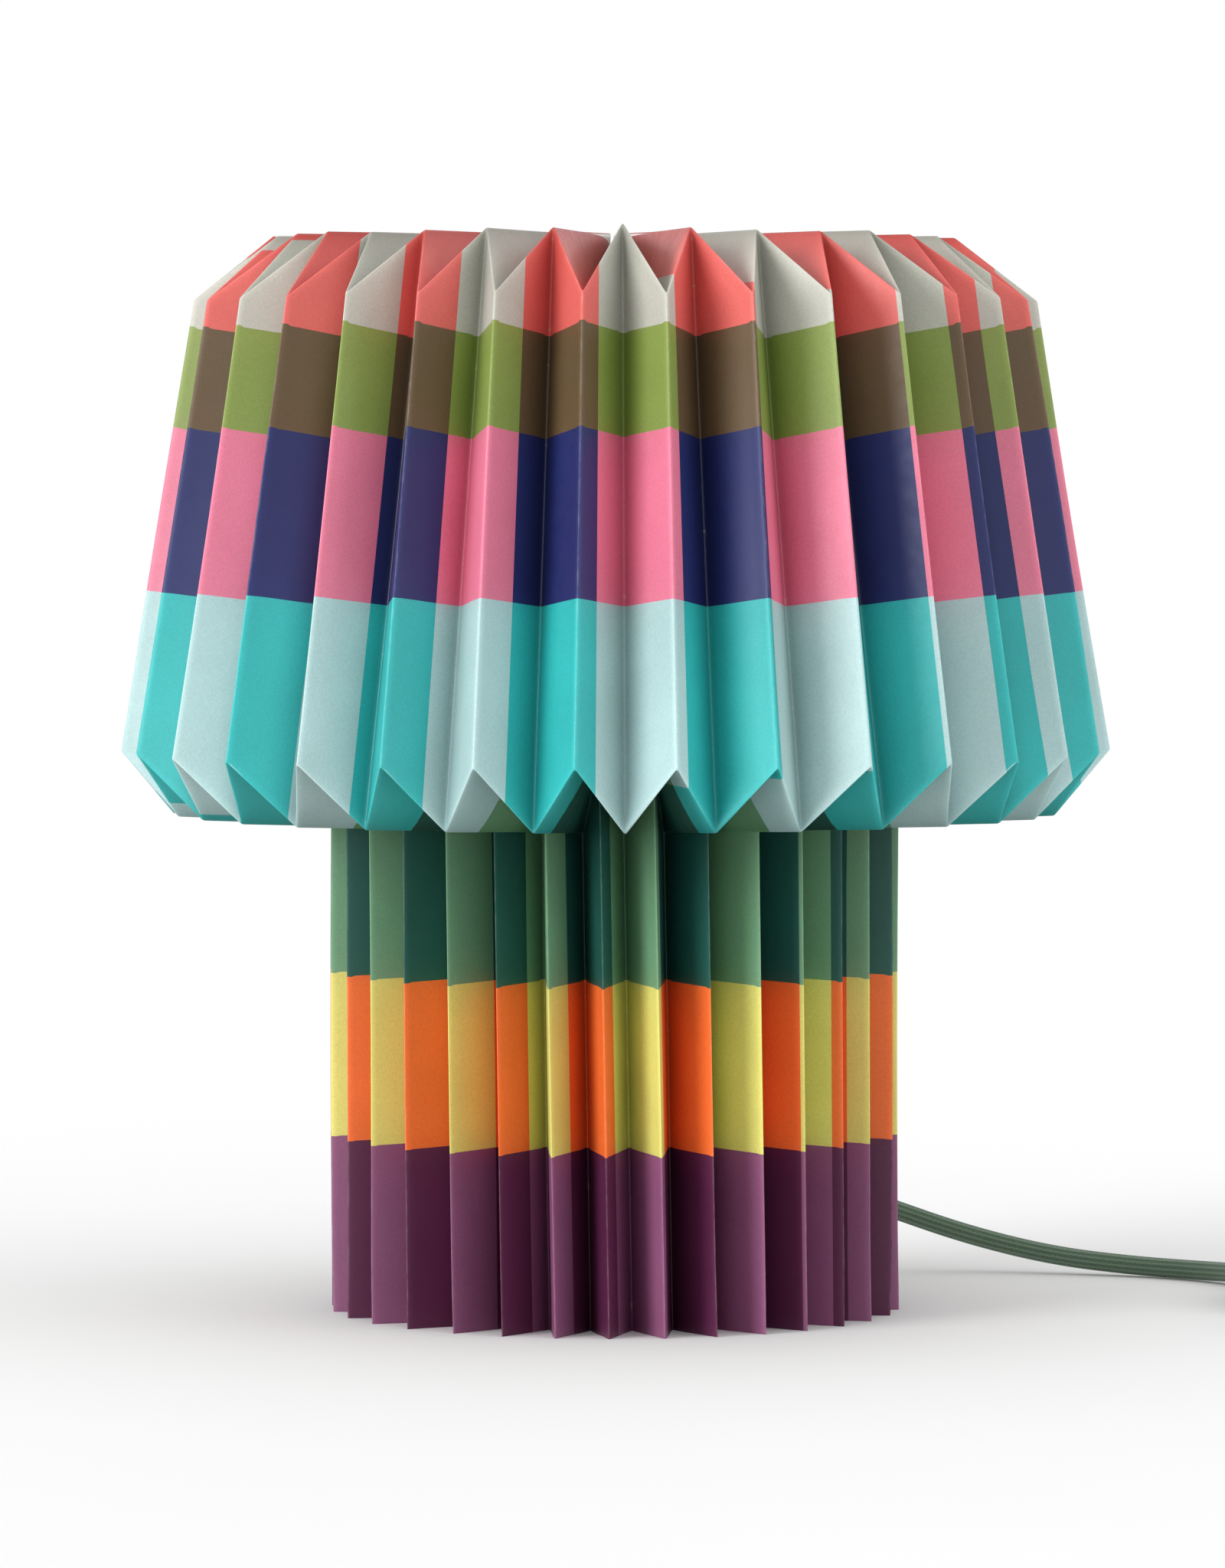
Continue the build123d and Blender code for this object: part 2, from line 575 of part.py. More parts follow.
# --- switch on the lead ----------------------------------------------------------------------
switch_floor = Plane(origin=(SWITCH_X, SWITCH_Y, 0), x_dir=(0, 1, 0), z_dir=(0, 0, 1))
PIVOT_Z = SWITCH_H - PIVOT_DEPTH
WINDOW_L, WINDOW_W = ROCKER_L + 2 * ROCKER_GAP, ROCKER_W + 2 * ROCKER_GAP
SWITCH_SCREW_REACH = SWITCH_L / 2 - 10


# Lower half of the casing, tapering in plan towards the lead at each end; the cover mirrors it.
with BuildPart() as switch_half:
    with BuildSketch(switch_floor):
        with BuildLine():
            end_x, side_y = SWITCH_L / 2, SWITCH_W / 2
            Line((-end_x, -side_y / 2), (-end_x, side_y / 2))
            ThreePointArc((-end_x, side_y / 2), (0, side_y), (end_x, side_y / 2))
            Line((end_x, side_y / 2), (end_x, -side_y / 2))
            ThreePointArc((end_x, -side_y / 2), (0, -side_y), (-end_x, -side_y / 2))
        make_face()
    extrude(amount=SWITCH_MID)
    fillet(switch_half.edges().group_by(Axis.Z)[0], SWITCH_ROUND)

with BuildPart() as switch_base:
    add(switch_half.part)
    with BuildSketch(switch_floor.offset(SWITCH_MID)):
        Rectangle(SWITCH_ROOM_L, SWITCH_ROOM_W)
    extrude(amount=SWITCH_WALL - SWITCH_MID, mode=Mode.SUBTRACT)
    with BuildSketch(switch_floor):
        with Locations((SWITCH_SCREW_REACH, 0), (-SWITCH_SCREW_REACH, 0)):
            Circle(CASE_SCREW_HEAD_R + 0.1)
    extrude(amount=CASE_SCREW_SEAT, mode=Mode.SUBTRACT)
    with BuildSketch(switch_floor):
        with Locations((SWITCH_SCREW_REACH, 0), (-SWITCH_SCREW_REACH, 0)):
            Circle(CASE_SCREW_R + FIT)
    extrude(amount=SWITCH_MID, mode=Mode.SUBTRACT)

with BuildPart() as switch_cover:
    mirror(switch_half.part, about=Plane.XY.offset(SWITCH_MID))
    with BuildSketch(switch_floor.offset(SWITCH_MID)):
        Rectangle(WINDOW_L, WINDOW_W)
    extrude(amount=SWITCH_H, mode=Mode.SUBTRACT)
    with BuildSketch(switch_floor.offset(SWITCH_MID)):
        with Locations((SWITCH_SCREW_REACH, 0), (-SWITCH_SCREW_REACH, 0)):
            Circle(CASE_SCREW_R + FIT)
    extrude(amount=CASE_SCREW_HOLE, mode=Mode.SUBTRACT)
    with BuildSketch(Plane(origin=(SWITCH_X, SWITCH_Y, PIVOT_Z), z_dir=(1, 0, 0))):
        Circle(TRUNNION_R + FIT)
    extrude(amount=ROCKER_W / 2 + TRUNNION_L + 0.2, both=True, mode=Mode.SUBTRACT)

with BuildPart() as switch_screws:
    with BuildSketch(switch_floor.offset(CASE_SCREW_LOW)):
        with Locations((SWITCH_SCREW_REACH, 0), (-SWITCH_SCREW_REACH, 0)):
            Circle(CASE_SCREW_HEAD_R)
    extrude(amount=CASE_SCREW_SEAT - CASE_SCREW_LOW)
    with BuildSketch(switch_floor.offset(CASE_SCREW_SEAT)):
        with Locations((SWITCH_SCREW_REACH, 0), (-SWITCH_SCREW_REACH, 0)):
            Circle(CASE_SCREW_R)
    extrude(amount=SWITCH_MID + 1)

# The rocker rests on its lower end: a cylinder segment that turns on two moulded trunnions.
rocker_side = Plane(origin=(SWITCH_X, SWITCH_Y, PIVOT_Z), x_dir=(0, 1, 0), z_dir=(1, 0, 0))
tilt = radians(ROCKER_TILT)
rocker_tilted = Plane(origin=rocker_side.origin, x_dir=(0, cos(tilt), sin(tilt)), z_dir=(1, 0, 0))
with BuildPart() as switch_rocker:
    with BuildSketch(rocker_tilted):
        with BuildLine():
            foot_x, top_x = ROCKER_L / 2 - 0.25, ROCKER_L / 2 - 0.55
            Line((-foot_x, ROCKER_FOOT), (-top_x, ROCKER_CROWN))
            ThreePointArc((-top_x, ROCKER_CROWN), (0, ROCKER_CROWN - ROCKER_DIP), (top_x, ROCKER_CROWN))
            Line((top_x, ROCKER_CROWN), (foot_x, ROCKER_FOOT))
            ThreePointArc((foot_x, ROCKER_FOOT), (0, -ROCKER_BELLY), (-foot_x, ROCKER_FOOT))
        make_face()
    extrude(amount=ROCKER_W / 2, both=True)
    with BuildSketch(rocker_side):
        Circle(TRUNNION_R)
    extrude(amount=ROCKER_W / 2 + TRUNNION_L, both=True)

# --- plug ------------------------------------------------------------------------------------
plug_axis = Plane(origin=PLUG_BACK, x_dir=(1, 0, 0), z_dir=(0, 1, 0))

with BuildPart() as plug_body:
    with BuildSketch(plug_axis.offset(NECK_L)):
        Circle(PLUG_NECK_R)
    with BuildSketch(plug_axis.offset(NECK_L + PLUG_L * 0.45)):
        RectangleRounded(PLUG_W * 0.86, PLUG_T - 0.6, 5)
    with BuildSketch(plug_axis.offset(NECK_L + PLUG_L)):
        RectangleRounded(PLUG_W, PLUG_T, 6)
    loft(ruled=True)
    with BuildSketch(plug_axis):
        Circle(PLUG_NECK_R - 1.6)
    with BuildSketch(plug_axis.offset(NECK_L)):
        Circle(PLUG_NECK_R)
    loft()

with BuildPart() as plug_pins:
    with BuildSketch(plug_axis.offset(NECK_L + PLUG_L)):
        with Locations((PIN_GAP / 2, 0), (-PIN_GAP / 2, 0)):
            Circle(PIN_R)
    extrude(amount=PIN_L)
    fillet(plug_pins.edges().group_by(Axis.Y)[-1], 1.2)

pieces = {
    "paper_front": paper_front, "paper_rear": paper_rear,
    "seam_strip_right": seam_strip_right, "seam_strip_left": seam_strip_left,
    "base_pan": base_pan, "foot_pad": foot_pad, "bottom_cover": bottom_cover,
    "ballast_disc": ballast_disc, "pillars": pillars, "cover_screws": cover_screws,
    "stem_tube": stem_tube, "stem_nuts": stem_nuts, "stem_washers": stem_washers,
    "cord_gland": cord_gland, "gland_nut": gland_nut, "strain_relief": strain_relief,
    "inner_lead": inner_lead,
    "holder_cap": holder_cap, "holder_core": holder_core, "terminal_screws": terminal_screws,
    "centre_contact": centre_contact, "threaded_sleeve": threaded_sleeve, "holder_shell": holder_shell,
    "bulb_contact": bulb_contact, "bulb_insulator": bulb_insulator, "bulb_screw_cap": bulb_screw_cap,
    "bulb_housing": bulb_housing, "bulb_globe": bulb_globe,
    "cord": cord, "cord_to_coil": cord_to_coil, "cord_coil": cord_coil, "cord_to_plug": cord_to_plug,
    "switch_base": switch_base, "switch_cover": switch_cover, "switch_screws": switch_screws,
    "switch_rocker": switch_rocker, "plug_body": plug_body, "plug_pins": plug_pins,
}
for name, piece in pieces.items():
    piece.part.label = name
    export_step(piece.part, f"parts/{name}.step")
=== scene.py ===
"""Looks of the pleated paper table lamp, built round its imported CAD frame.

Metres, +Z up. The lamp faces -Y, and its lead leaves at the back, behind the +X side.
"""
import json
import random
from math import cos, pi, radians, sin, sqrt

import bpy
import numpy as np
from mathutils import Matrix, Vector


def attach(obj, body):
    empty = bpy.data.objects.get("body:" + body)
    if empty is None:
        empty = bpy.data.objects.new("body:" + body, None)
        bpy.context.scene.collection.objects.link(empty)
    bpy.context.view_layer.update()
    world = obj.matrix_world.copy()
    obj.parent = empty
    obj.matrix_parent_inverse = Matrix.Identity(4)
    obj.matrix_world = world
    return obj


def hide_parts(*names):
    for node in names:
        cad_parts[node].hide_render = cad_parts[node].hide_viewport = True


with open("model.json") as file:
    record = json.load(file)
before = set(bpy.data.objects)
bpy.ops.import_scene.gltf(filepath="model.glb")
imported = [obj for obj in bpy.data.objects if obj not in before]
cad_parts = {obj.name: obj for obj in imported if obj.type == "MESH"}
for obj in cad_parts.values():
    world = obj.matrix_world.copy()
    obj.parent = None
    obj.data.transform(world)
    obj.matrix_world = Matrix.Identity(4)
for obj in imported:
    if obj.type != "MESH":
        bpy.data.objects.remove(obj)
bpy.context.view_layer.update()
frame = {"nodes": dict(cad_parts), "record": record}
scene = bpy.context.scene
MM = 0.001

# --- camera -------------------------------------------------------------------
IMAGE_LONG_SIDE = 2048
FOCAL_PIXELS = 10000
SENSOR = 36.0
CAMERA_PLACE = (-0.0009, -2.5, 0.280)
CAMERA_PITCH = 2.486


def make_camera():
    """A long lens a little above the table, tilted slightly down."""
    data = bpy.data.cameras.new("camera")
    data.sensor_width = SENSOR
    data.lens = SENSOR * FOCAL_PIXELS / IMAGE_LONG_SIDE
    data.clip_start = 0.05
    data.clip_end = 60
    camera = bpy.data.objects.new("camera", data)
    camera.location = CAMERA_PLACE
    camera.rotation_euler = (radians(90 - CAMERA_PITCH), 0, 0)
    scene.collection.objects.link(camera)
    scene.camera = camera


make_camera()

# --- sizes shared with the CAD part, in metres and degrees -----------------------
PLEATS = 32
FACET = 25.4 * MM
FRONT_VALLEY = -88.8  # folds are counted from this one
HALF_PITCH = 180 / PLEATS
NOTCH_VALLEY = 13  # the lead's notch is cut round this valley, counted from the front
NOTCH_HALF, NOTCH_TOP = 7 * MM, 42 * MM
EXIT_DEG = FRONT_VALLEY + NOTCH_VALLEY * 2 * HALF_PITCH
EXIT_Z = 32 * MM
GLAND_OUT, BOOT_TIP = 64 * MM, 102 * MM
CORD_D = 6.6 * MM


def polar(radius, angle, z):
    """A point from its cylindrical coordinates, with the angle in degrees."""
    return Vector((radius * cos(radians(angle)), radius * sin(radians(angle)), z))


# --- the lead: one fixed length, from the boot to the plug -----------------------
LEAD_LENGTH = 1.875
SWITCH_MID = 7.7 * MM
COIL_X, COIL_Y, COIL_TURNS = 0.266, -0.065, 6.5
COIL_INNER_R = 4 * CORD_D
POINTS_PER_TURN = 20
LAYERS_PER_TURN = 3  # how fast the coil climbs on top of itself, half way through
LIE = CORD_D / 2  # height of the lead's middle where it lies on the table
PLUG_BACK = Vector((0.31435, -0.019, 0.0068))
LAMP_ROUTE = [
    polar(BOOT_TIP, EXIT_DEG, EXIT_Z), (0.067, 0.1049, 0.0315), (0.092, 0.1135, 0.022),
    (0.120, 0.110, 0.0125), (0.149, 0.1025, 0.006), (0.176, 0.093, 0.0036), (0.198, 0.079, 0.0034),
    (0.213, 0.058, 0.0046), (0.218, 0.033, SWITCH_MID),
]
COIL_ROUTE = [(0.218, -0.025, SWITCH_MID), (0.2189, -0.045, 0.0049)]
PLUG_ROUTE = [(0.3152, -0.042, 0.0084), PLUG_BACK]


def coil_points():
    """Turns that wind inwards on the table and then outwards on top of themselves."""
    points, count = [], int(COIL_TURNS * POINTS_PER_TURN)
    for i in range(count + 1):
        turn = i / POINTS_PER_TURN
        inwards = COIL_TURNS / 2 - turn
        radius = COIL_INNER_R + abs(inwards) * CORD_D
        climb = min(1, max(0, 0.5 - inwards * LAYERS_PER_TURN))
        angle = pi + 2 * pi * turn
        x, y = COIL_X + radius * cos(angle), COIL_Y + radius * sin(angle)
        points.append((x, y, LIE * (1 + 2 * climb)))
    return points


def make_lead():
    """The whole lead as one smooth round line."""
    curve = bpy.data.curves.new("mains_lead", "CURVE")
    curve.dimensions = "3D"
    route = LAMP_ROUTE + COIL_ROUTE + coil_points() + PLUG_ROUTE
    spline = curve.splines.new("NURBS")
    spline.points.add(len(route) - 1)
    for point, place in zip(spline.points, route):
        point.co = (*place, 1)
        point.radius = CORD_D / 2
    spline.order_u = 3
    spline.use_endpoint_u = True
    spline.resolution_u = 8
    curve.bevel_depth = 1.0  # times each point's radius
    curve.bevel_resolution = 6
    curve.use_fill_caps = True
    lead = bpy.data.objects.new("mains_lead", curve)
    scene.collection.objects.link(lead)
    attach(lead, "stand")
    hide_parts("cord", "cord_to_coil", "cord_coil", "cord_to_plug")
    return lead


lead = make_lead()


# --- materials --------------------------------------------------------------------
def rgb(red, green, blue):
    """Linear colour from the 0-255 values of a display."""
    def linear(value):
        value /= 255
        return value / 12.92 if value <= 0.04045 else ((value + 0.055) / 1.055)**2.4
    return (linear(red), linear(green), linear(blue), 1)


NOISE_SPAN = (0.3, 0.7)
PATCHES = (0.35, 0.65)  # noise values between which a surface's darker patches turn into its own colour


class Nodes:
    """A material's node tree with short ways to add to it."""

    def __init__(self, name, roughness=0.5, **constants):
        self.material = bpy.data.materials.new(name)
        self.material.use_nodes = True
        self.tree = self.material.node_tree
        self.shader = self.tree.nodes["Principled BSDF"]
        self.shader.inputs["Roughness"].default_value = roughness
        for socket, value in constants.items():
            self.shader.inputs[socket.replace("_", " ")].default_value = value

    def add(self, kind, inputs=None, **settings):
        node = self.tree.nodes.new(kind)
        for name, value in settings.items():
            setattr(node, name, value)
        for key, value in (inputs or {}).items():
            self.link(value, node.inputs[key])
        return node

    def link(self, value, socket):
        if isinstance(value, bpy.types.NodeSocket):
            self.tree.links.new(value, socket)
        else:
            socket.default_value = value

    def math(self, operation, *values):
        node = self.add("ShaderNodeMath", operation=operation)
        for socket, value in zip(node.inputs, values):
            self.link(value, socket)
        return node.outputs[0]

    def mix(self, share, first, second):
        node = self.add("ShaderNodeMix", data_type="RGBA")
        self.link(share, node.inputs[0])
        self.link(first, node.inputs[6])
        self.link(second, node.inputs[7])
        return node.outputs[2]

    def scaled(self, colour, factor):
        triple = self.add("ShaderNodeCombineXYZ", {0: factor, 1: factor, 2: factor}).outputs[0]
        return self.add("ShaderNodeVectorMath", {0: colour, 1: triple}, operation="MULTIPLY").outputs[0]

    def ramp(self, value, stops, interpolation="LINEAR"):
        node = self.add("ShaderNodeValToRGB", {0: value})
        elements = node.color_ramp.elements
        node.color_ramp.interpolation = interpolation
        while len(elements) < len(stops):
            elements.new(0.5)
        for element, (place, colour) in zip(elements, stops):
            element.position = place
            element.color = colour
        return node.outputs[0]

    def spread(self, value, low, high, new_low=0.0, new_high=1.0):
        node = self.add("ShaderNodeMapRange", {0: value, 1: low, 2: high, 3: new_low, 4: new_high})
        return node.outputs[0]

    def vary(self, noise, low, high):
        """A value that wanders between low and high with a noise, which mostly keeps to NOISE_SPAN."""
        return self.spread(noise, *NOISE_SPAN, low, high)

    def noise(self, size, detail=3.0, stretch=None):
        """Noise whose lumps are about this many metres across, in the object's own coordinates."""
        where = self.add("ShaderNodeTexCoord").outputs["Object"]
        if stretch:
            where = self.add("ShaderNodeMapping", {0: where, 3: stretch}).outputs[0]
        inputs = {"Vector": where, "Scale": 0.5 / size, "Detail": detail}
        return self.add("ShaderNodeTexNoise", inputs).outputs[0]

    def bump(self, height, distance, below=None):
        inputs = {"Height": height, "Distance": distance, "Strength": 1.0}
        if below:
            inputs["Normal"] = below
        return self.add("ShaderNodeBump", inputs).outputs[0]

    def finish(self, colour=None, roughness=None, normal=None):
        for value, name in ((colour, "Base Color"), (roughness, "Roughness"), (normal, "Normal")):
            if value is not None:
                self.link(value, self.shader.inputs[name])
        return self.material


DULL_SHADE, MARK_DEPTH = 0.8, 0.006 * MM


def darkened(colour, factor):
    return tuple(c * factor for c in colour[:3]) + (1,)


def moulded(name, colour, roughness=0.4, grain=0.6 * MM, depth=0.02 * MM, shade=0.85, **constants):
    """Moulded, painted or cast surface: fine grain, slight colour drift and uneven gloss."""
    nodes = Nodes(name, **constants)
    drift = nodes.spread(nodes.noise(12 * MM), *PATCHES)
    fine = nodes.noise(grain, 4.0)
    gloss = nodes.vary(nodes.noise(6 * MM, 5.0), roughness * 0.85, min(1, roughness * 1.2))
    tone = nodes.mix(drift, darkened(colour, shade), colour)
    return nodes.finish(tone, gloss, nodes.bump(fine, depth))


def metal(name, colour, roughness, stretch=(1, 1, 30)):
    """Drawn, turned or rolled metal: fine marks along its working direction and dull patches."""
    nodes = Nodes(name, Metallic=1.0)
    marks = nodes.noise(2 * MM, 4.0, stretch=stretch)
    dull = nodes.noise(7 * MM, 3.0)
    gloss = nodes.spread(nodes.math("ADD", marks, dull), 0.7, 1.3, roughness * 0.7, roughness * 1.35)
    tone = nodes.mix(nodes.spread(dull, *PATCHES), darkened(colour, DULL_SHADE), colour)
    return nodes.finish(tone, gloss, nodes.bump(marks, MARK_DEPTH))


def felt_material():
    nodes = Nodes("felt", roughness=0.95, Sheen_Weight=0.5, Sheen_Roughness=0.6)
    fibre = nodes.noise(0.5 * MM, 6.0, stretch=(1, 1, 3))
    colour = nodes.ramp(fibre, [(0.3, rgb(24, 24, 25)), (0.7, rgb(62, 61, 60))])
    return nodes.finish(colour, None, nodes.bump(fibre, 0.25 * MM))


def opal_material():
    nodes = Nodes("opal_diffuser", roughness=0.35, Subsurface_Weight=0.4, Subsurface_Scale=0.003,
                  Subsurface_Radius=(1, 1, 1))
    colour = nodes.ramp(nodes.noise(9 * MM), [(0.3, rgb(236, 233, 224)), (0.7, rgb(246, 244, 238))])
    return nodes.finish(colour, None, nodes.bump(nodes.noise(0.3 * MM), 0.01 * MM))


# --- printed paper -------------------------------------------------------------------
COLLAR_LONG, SHEET_LONG = 126.5 * MM, 525.5 * MM
BANDS = [0.0] + [COLLAR_LONG + d * MM for d in (7.2, 40.2, 94.1, 189.2, 287.3, 339.9)]
COLUMN_START, COLUMN_PITCH = -0.59, 1.882  # in facets from the front valley
VALLEY_SHADE_FADE = 15 * MM  # how far from a valley the painted shade begins
# painted shade in the valleys: how much it deepens and darkens the print, and the print's tone away from
# them
VALLEY_SHADE_GAMMA, VALLEY_SHADE_LOSS, PLAIN_TONE = 0.26, 0.30, 1.05
# painted highlight on the ridges, and how much rougher the ridges are
RIDGE_HIGHLIGHT_GAIN, RIDGE_ROUGHER = 0.13, 0.08
# pale worn ink on the creases, which is also a painted highlight, and white flecks of cracked ink in the
# valleys
CREASE_PALE, FLECK_PALE = 0.07, 0.13
BARE_PAPER = rgb(230, 228, 222)
FIRST_COLOURS = [
    rgb(200, 92, 86), rgb(90, 72, 50), rgb(30, 39, 90), rgb(44, 162, 161),
    rgb(28, 77, 69), rgb(222, 101, 45), rgb(80, 31, 62),
]
SECOND_COLOURS = [
    rgb(171, 171, 161), rgb(121, 138, 68), rgb(207, 111, 135), rgb(160, 187, 187),
    rgb(101, 143, 109), rgb(202, 199, 107), rgb(127, 75, 108),
]


def printed_material():
    """Two colours a band, changing places every COLUMN_PITCH facets, satin and worn on its folds, with
    painted shade in its valleys and painted highlights on its ridges.

    The UV map "sheet" is the flat sheet: facets from the front valley, and metres from the top edge.
    """
    nodes = Nodes("printed_paper", Coat_Weight=0.05, Coat_Roughness=0.35, Specular_IOR_Level=0.35)
    flat = nodes.add("ShaderNodeUVMap", uv_map="sheet").outputs[0]
    split = nodes.add("ShaderNodeSeparateXYZ", {0: flat}).outputs
    across, down = split[0], split[1]
    column = nodes.math("DIVIDE", nodes.math("SUBTRACT", across, COLUMN_START), COLUMN_PITCH)
    odd = nodes.math("FLOORED_MODULO", nodes.math("FLOOR", column), 2.0)
    share = nodes.math("DIVIDE", down, SHEET_LONG)
    places = [d / SHEET_LONG for d in BANDS]
    first = nodes.ramp(share, list(zip(places, FIRST_COLOURS)), "CONSTANT")
    second = nodes.ramp(share, list(zip(places, SECOND_COLOURS)), "CONSTANT")
    ink = nodes.mix(odd, second, first)

    cloudy = nodes.vary(nodes.noise(16 * MM, 4.0), 0.94, 1.06)
    dots = nodes.vary(nodes.noise(0.35 * MM, 2.0), 0.94, 1.06)

    # Distances to the folds, in metres. On the shade and the foot, even folds are valleys and odd folds
    # are mountains. On the top collar and under the shade they trade places, which the painted shade and
    # highlights below ignore.
    to_valley = nodes.math("MULTIPLY", nodes.math("PINGPONG", across, 1.0), FACET)
    to_mountain = nodes.math("SUBTRACT", FACET, to_valley)
    to_bend = nodes.add("ShaderNodeAttribute", attribute_name="to_bend").outputs["Fac"]
    to_ridge = nodes.math("MINIMUM", to_mountain, to_bend)
    scuffs = nodes.noise(2.2 * MM, 5.0)
    ridge = nodes.spread(to_ridge, 0.2 * MM, 2.2 * MM, 1, 0)
    # Pale line on the creases: worn ink showing bare paper, and partly a painted highlight.
    on_crease = nodes.spread(to_ridge, 0.1 * MM, 0.6 * MM, 1, 0)
    crease = nodes.math("MULTIPLY", on_crease, nodes.spread(scuffs, 0.4, 0.7))
    groove = nodes.spread(to_valley, 0.2 * MM, 0.9 * MM, 1, 0)
    flecks = nodes.math("MULTIPLY", groove, nodes.spread(nodes.noise(1.6 * MM, 3.0), 0.64, 0.70))
    worn_crease_and_highlight = nodes.math("MULTIPLY", crease, CREASE_PALE)
    cracked = nodes.math("MULTIPLY", flecks, FLECK_PALE)
    ink = nodes.mix(nodes.math("MAXIMUM", worn_crease_and_highlight, cracked), ink, BARE_PAPER)

    # Painted shade: the print is darker and stronger in colour near even folds. Painted highlight: it is
    # brighter at odd folds and at the folds across the sheet.
    # painted shade: darker and deeper ink towards each even fold
    depth = nodes.spread(to_valley, 0.0, VALLEY_SHADE_FADE, 1.0, 0.0)
    valley_shade = nodes.math("MULTIPLY", depth, depth)
    gamma = nodes.math("MULTIPLY_ADD", valley_shade, VALLEY_SHADE_GAMMA, 1.0)
    ink = nodes.add("ShaderNodeGamma", {0: ink, 1: gamma}).outputs[0]
    painted_valley_shade = nodes.math("MULTIPLY_ADD", valley_shade, -VALLEY_SHADE_LOSS, PLAIN_TONE)
    # painted highlight: brighter print near the ridges and the folds across the sheet
    painted_ridge_highlight = nodes.math("MULTIPLY_ADD", ridge, RIDGE_HIGHLIGHT_GAIN, 1.0)
    mottle = nodes.math("MULTIPLY", cloudy, dots)
    ink = nodes.scaled(ink, nodes.math("MULTIPLY", mottle, nodes.math("MULTIPLY", painted_valley_shade, painted_ridge_highlight)))

    fibres = nodes.noise(0.45 * MM, 4.0)
    waves = nodes.noise(22 * MM, 2.0)
    normal = nodes.bump(fibres, 0.012 * MM, nodes.bump(waves, 0.25 * MM))
    gloss = nodes.math("MULTIPLY_ADD", ridge, RIDGE_ROUGHER, nodes.vary(scuffs, 0.38, 0.48))
    return nodes.finish(ink, gloss, normal)


def bare_paper(name, colour, roughness=0.8):
    """Unprinted paper: matt, with fibres."""
    nodes = Nodes(name, roughness=roughness)
    fibres = nodes.noise(0.5 * MM, 5.0, stretch=(1, 1, 0.4))
    tone = nodes.mix(nodes.spread(nodes.noise(9 * MM), *PATCHES), darkened(colour, 0.9), colour)
    return nodes.finish(tone, None, nodes.bump(fibres, 0.03 * MM))


STITCH_PITCH = 0.8 * MM
YARN_ROWS = 12


def textile_material():
    """Woven green sleeve: rows of yarn along the lead, each with a row of small light stitches."""
    nodes = Nodes("green_textile", roughness=0.8, Sheen_Weight=0.3, Sheen_Roughness=0.5)
    uv = nodes.add("ShaderNodeTexCoord").outputs["UV"]
    split = nodes.add("ShaderNodeSeparateXYZ", {0: uv}).outputs
    along = nodes.math("MULTIPLY", split[0], LEAD_LENGTH / STITCH_PITCH)
    rows = nodes.math("MULTIPLY", split[1], YARN_ROWS)
    row_wave = nodes.math("COSINE", nodes.math("MULTIPLY", rows, 2 * pi))
    staggered = nodes.math("MULTIPLY_ADD", nodes.math("FLOOR", rows), 0.5, along)
    stitch_wave = nodes.math("COSINE", nodes.math("MULTIPLY", staggered, 2 * pi))
    yarn = nodes.noise(0.25 * MM, 4.0)
    stitch = nodes.math("MULTIPLY", nodes.spread(row_wave, 0.2, 0.9), nodes.spread(stitch_wave, -0.4, 0.5))
    green = nodes.ramp(nodes.math("ADD", nodes.math("MULTIPLY", row_wave, 0.2), yarn),
                       [(0.2, rgb(66, 90, 70)), (0.5, rgb(84, 110, 88)), (0.8, rgb(98, 124, 101))])
    colour = nodes.mix(nodes.math("MULTIPLY", stitch, 0.38), green, rgb(150, 172, 148))
    height = nodes.math("ADD", nodes.math("MULTIPLY", row_wave, 0.5), nodes.math("ADD", stitch, yarn))
    return nodes.finish(colour, None, nodes.bump(height, 0.09 * MM))


